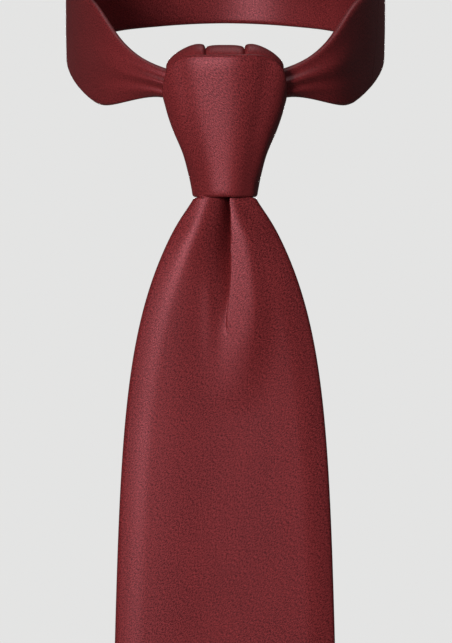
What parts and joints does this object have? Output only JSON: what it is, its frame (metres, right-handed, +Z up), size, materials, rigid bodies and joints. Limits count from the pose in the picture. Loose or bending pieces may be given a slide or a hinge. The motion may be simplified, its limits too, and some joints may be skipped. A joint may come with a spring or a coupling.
{
  "type": "necktie",
  "caption": "Tied necktie as worn: round neck loop, tapered knot with a dimpled blade hanging below it, and a narrower tail held behind by a keeper loop.",
  "frame": {"origin": "on the axis of the neck opening, level with the top of the knot's front face", "axes": "+Z up along the hanging tie, -Y towards the tie's front, +X towards the viewer's right"},
  "size_m": [0.1242, 0.1616, 0.5625],
  "materials": {
    "satin_shell": "deep red satin weave, soft sheen",
    "tipping": "plain woven lining in dark red",
    "interlining": "brushed wool interlining, off-white",
    "thread": "matching twisted silk thread",
    "label": "blank woven satin tape"
  },
  "bodies": {
    "neck_loop": {"left_arm_shell": "satin_shell", "left_arm_interlining": "interlining", "neck_band_shell": "satin_shell", "neck_band_interlining": "interlining", "right_arm_shell": "satin_shell", "right_arm_interlining": "interlining", "left_join_stitching": "thread", "right_join_stitching": "thread"},
    "knot": {"knot_front_wrap": "satin_shell", "knot_front_interlining": "interlining", "knot_back_wrap": "satin_shell", "knot_back_interlining": "interlining", "knot_middle_pass": "satin_shell", "knot_left_shoulder": "satin_shell", "knot_right_shoulder": "satin_shell", "knot_tail_pass": "satin_shell"},
    "blade_gather": {"gather_shell": "satin_shell", "gather_interlining": "interlining", "tail_upper_shell": "satin_shell", "tail_upper_interlining": "interlining"},
    "front_blade": {"blade_shell": "satin_shell", "blade_interlining": "interlining", "blade_tipping": "tipping", "blade_slip_stitch": "thread", "blade_bar_tack": "thread", "slip_stitch_loop": "thread", "keeper_loop": "satin_shell", "keeper_left_stitch": "thread", "keeper_right_stitch": "thread", "tail_feed_shell": "satin_shell", "tail_feed_interlining": "interlining"},
    "tail": {"tail_shell": "satin_shell", "tail_interlining": "interlining", "tail_tipping": "tipping", "tail_slip_stitch": "thread", "tail_bar_tack": "thread", "care_label": "label"}
  },
  "joints": [
    {"name": "knot_slide", "type": "slide", "parent": "neck_loop", "child": "knot", "axis": [0, 0, -1], "range_m": [0, 0.04], "deforming": ["left_arm_shell", "left_arm_interlining", "right_arm_shell", "right_arm_interlining"]},
    {"name": "blade_sway", "type": "hinge", "parent": "knot", "child": "blade_gather", "pos_m": [0, -0.081, -0.049], "axis": [0, 1, 0], "range_deg": [-10, 10]},
    {"name": "blade_lift", "type": "hinge", "parent": "blade_gather", "child": "front_blade", "pos_m": [0, -0.08245, -0.15135], "axis": [-1, 0, 0], "range_deg": [-10, 80]},
    {"name": "tail_slide", "type": "slide", "parent": "front_blade", "child": "tail", "axis": [0, 0, 1], "range_m": [0, 0.08], "deforming": ["tail_feed_shell", "tail_feed_interlining"]}
  ],
  "couplings": [
    {"joint": "tail_slide", "follows": "knot_slide", "ratio": 2}
  ]
}
